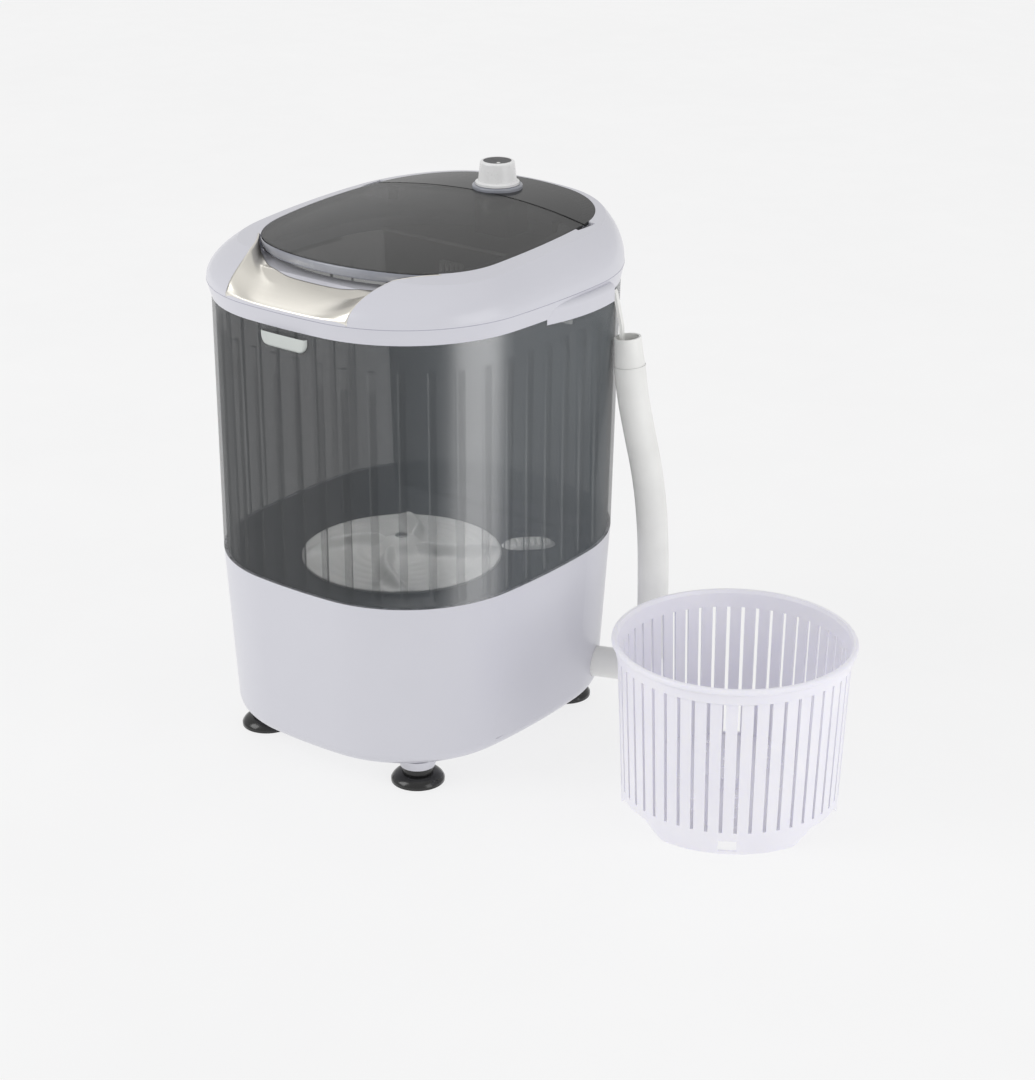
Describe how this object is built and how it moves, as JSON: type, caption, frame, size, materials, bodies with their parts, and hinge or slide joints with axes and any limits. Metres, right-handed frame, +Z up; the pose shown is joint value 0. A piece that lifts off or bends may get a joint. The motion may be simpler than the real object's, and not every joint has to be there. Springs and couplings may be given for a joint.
{
  "type": "portable mini washer",
  "caption": "Tabletop single-tub washer: white base, smoked tub, hinged lid, timer knob, drain hose, and a separate slotted spin basket.",
  "frame": {"origin": "on the floor, at the foot of the washer's upright centre line", "axes": "+Z up, -Y is the washer's front with the finger recess, +X is the side with the drain hose and the basket"},
  "size_m": [0.6306, 0.379, 0.525],
  "materials": {
    "white_shell": "gloss white moulding with a faint lavender cast",
    "smoked_shell": "smoked translucent gloss",
    "smoked_lid": "dark smoked translucent gloss",
    "trim_metal": "champagne silver, satin",
    "clip_plastic": "translucent pale moulding",
    "basket_plastic": "satin white moulding",
    "black_rubber": "smooth black",
    "hose_plastic": "flexible off-white",
    "pale_grey_plastic": "satin grey moulding",
    "dark_plastic": "dark grey moulding",
    "plain_steel": "plain zinc plated",
    "cast_housing": "die cast"
  },
  "bodies": {
    "washer": {"base_housing": "white_shell", "base_plate": "pale_grey_plastic", "base_screw_1": "plain_steel", "base_screw_2": "plain_steel", "base_screw_3": "plain_steel", "base_screw_4": "plain_steel", "bearing_housing": "cast_housing", "bearing_lower": "plain_steel", "bearing_upper": "plain_steel", "capacitor": "dark_plastic", "capacitor_strap": "dark_plastic", "column_cover": "pale_grey_plastic", "control_panel": "smoked_lid", "cord_gland": "black_rubber", "drain_elbow": "hose_plastic", "drain_hose": "hose_plastic", "drain_pipe": "hose_plastic", "drain_strainer": "pale_grey_plastic", "drive_belt": "black_rubber", "foot_boss_front_left": "white_shell", "foot_boss_front_right": "white_shell", "foot_boss_rear_left": "white_shell", "foot_boss_rear_right": "white_shell", "foot_front_left": "black_rubber", "foot_front_right": "black_rubber", "foot_rear_left": "black_rubber", "foot_rear_right": "black_rubber", "front_clip": "clip_plastic", "front_trim": "trim_metal", "hose_cuff": "hose_plastic", "hose_hook": "hose_plastic", "inlet_grille": "pale_grey_plastic", "knob_plinth": "dark_plastic", "motor_bracket": "plain_steel", "motor_housing": "plain_steel", "motor_stator": "plain_steel", "overflow_grille": "pale_grey_plastic", "shaft_seal": "black_rubber", "timer_body": "dark_plastic", "top_cover": "white_shell", "tub": "smoked_shell", "tub_rim": "white_shell"},
    "lid": {"lid": "smoked_lid", "hinge_pin_left": "plain_steel", "hinge_pin_right": "plain_steel"},
    "knob": {"knob": "white_shell", "knob_cap": "dark_plastic", "timer_shaft": "plain_steel"},
    "pulsator_drive": {"pulsator": "pale_grey_plastic", "pulsator_screw": "plain_steel", "drive_shaft": "plain_steel", "drive_pulley": "dark_plastic", "pulley_nut": "plain_steel"},
    "motor_rotor": {"motor_rotor": "plain_steel", "motor_shaft": "plain_steel", "motor_fan": "dark_plastic", "motor_pulley": "dark_plastic"},
    "spin_basket": {"spin_basket": "basket_plastic"}
  },
  "joints": [
    {"name": "lid_hinge", "type": "hinge", "parent": "washer", "child": "lid", "pos_m": [0, 0.084, 0.4845], "axis": [-1, 0, 0], "range_deg": [0, 80]},
    {"name": "timer_turn", "type": "hinge", "parent": "washer", "child": "knob", "pos_m": [0, 0.121, 0.503], "axis": [0, 0, 1], "range_deg": [-300, 0]},
    {"name": "pulsator_spin", "type": "hinge", "parent": "washer", "child": "pulsator_drive", "pos_m": [0, -0.028, 0.171], "axis": [0, 0, 1], "continuous": true},
    {"name": "motor_spin", "type": "hinge", "parent": "washer", "child": "motor_rotor", "pos_m": [0, 0.078, 0.118], "axis": [0, 0, 1], "continuous": true},
    {"name": "basket_lift", "type": "slide", "parent": "washer", "child": "spin_basket", "axis": [0, 0, 1], "range_m": [0, 0.35]}
  ],
  "couplings": [
    {"joint": "motor_spin", "follows": "pulsator_spin", "ratio": 6}
  ]
}
